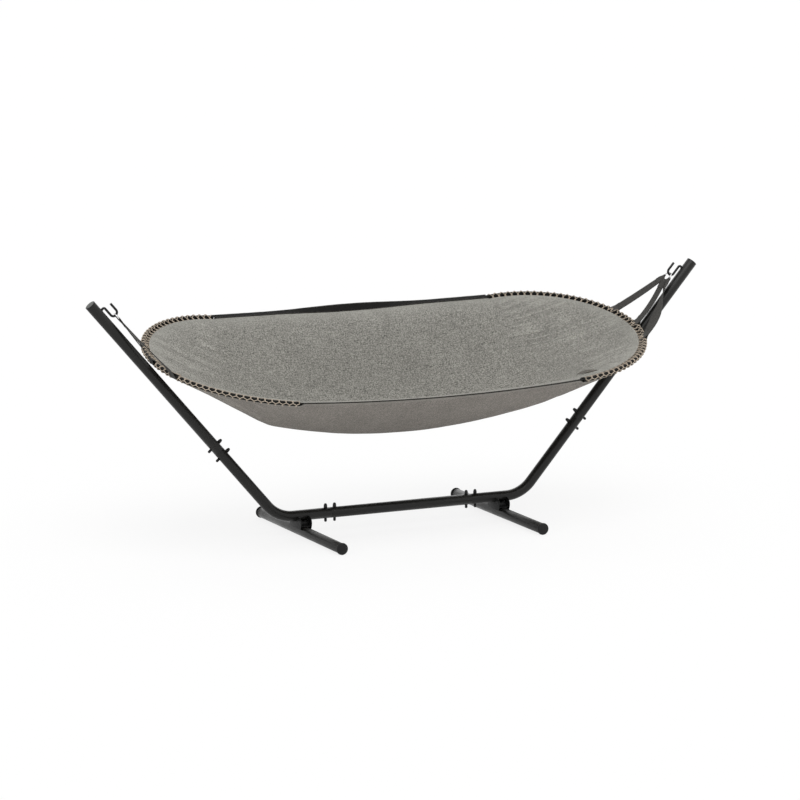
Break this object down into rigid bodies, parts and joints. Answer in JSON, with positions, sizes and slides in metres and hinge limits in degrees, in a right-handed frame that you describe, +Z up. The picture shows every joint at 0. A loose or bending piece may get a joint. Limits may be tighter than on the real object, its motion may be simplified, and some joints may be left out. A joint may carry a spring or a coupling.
{
  "type": "hammock with stand",
  "caption": "Two-layer cloth hammock laced to two bow bars and hung by webbing straps from hooks on a tubular steel stand with cross feet.",
  "frame": {"origin": "on the floor under the middle of the whole part's bounding box", "axes": "+Z up, +X along the stand's rail from the left post to the right post, -Y towards the side that the bed leans to; the stand's upright plane is at Y = -39.9 mm"},
  "size_m": [3.1252, 1.1042, 1.1727],
  "materials": {
    "frame_steel": "satin powder coat",
    "black_plastic": "matte",
    "black_hardware": "semi-gloss black",
    "galvanised_steel": "dull zinc",
    "polished_ring": "polished",
    "strap_webbing": "woven webbing",
    "band_webbing": "woven webbing",
    "inner_canvas": "plain woven canvas",
    "outer_canvas": "plain woven canvas",
    "lace_cord": "braided cord",
    "tag_leather": "plain, unmarked"
  },
  "bodies": {
    "stand": {"left_upper_post": "frame_steel", "left_post_plug": "black_plastic", "left_elbow": "frame_steel", "left_foot": "frame_steel", "left_foot_cap_near": "black_plastic", "left_foot_cap_far": "black_plastic", "left_saddle": "black_plastic", "left_foot_bolt": "galvanised_steel", "left_rail_insert": "galvanised_steel", "left_hook": "black_hardware", "left_post_sleeve": "galvanised_steel", "left_rail_sleeve": "galvanised_steel", "left_post_bolt_upper": "black_hardware", "left_post_bolt_lower": "black_hardware", "left_post_cap_nut_upper": "black_hardware", "left_post_cap_nut_lower": "black_hardware", "left_rail_bolt_inner": "black_hardware", "left_rail_bolt_outer": "black_hardware", "left_rail_cap_nut_inner": "black_hardware", "left_rail_cap_nut_outer": "black_hardware", "right_upper_post": "frame_steel", "right_post_plug": "black_plastic", "right_elbow": "frame_steel", "right_foot": "frame_steel", "right_foot_cap_near": "black_plastic", "right_foot_cap_far": "black_plastic", "right_saddle": "black_plastic", "right_foot_bolt": "galvanised_steel", "right_rail_insert": "galvanised_steel", "right_hook": "black_hardware", "right_post_sleeve": "galvanised_steel", "right_rail_sleeve": "galvanised_steel", "right_post_bolt_upper": "black_hardware", "right_post_bolt_lower": "black_hardware", "right_post_cap_nut_upper": "black_hardware", "right_post_cap_nut_lower": "black_hardware", "right_rail_bolt_inner": "black_hardware", "right_rail_bolt_outer": "black_hardware", "right_rail_cap_nut_inner": "black_hardware", "right_rail_cap_nut_outer": "black_hardware", "centre_rail": "frame_steel"},
    "bed": {"left_bow": "frame_steel", "left_lacing": "lace_cord", "left_ring": "polished_ring", "left_strap_near": "strap_webbing", "left_strap_middle": "strap_webbing", "left_strap_far": "strap_webbing", "right_bow": "frame_steel", "right_lacing": "lace_cord", "right_ring": "polished_ring", "right_strap_near": "strap_webbing", "right_strap_middle": "strap_webbing", "right_strap_far": "strap_webbing", "inner_panel": "inner_canvas", "outer_skin": "outer_canvas", "near_side_band": "band_webbing", "far_side_band": "band_webbing", "leather_tag": "tag_leather"}
  },
  "joints": [
    {"name": "bed_swing", "type": "hinge", "parent": "stand", "child": "bed", "pos_m": [0, -0.0399, 1.10157], "axis": [1, 0, 0], "range_deg": [-37.5, 4]}
  ]
}
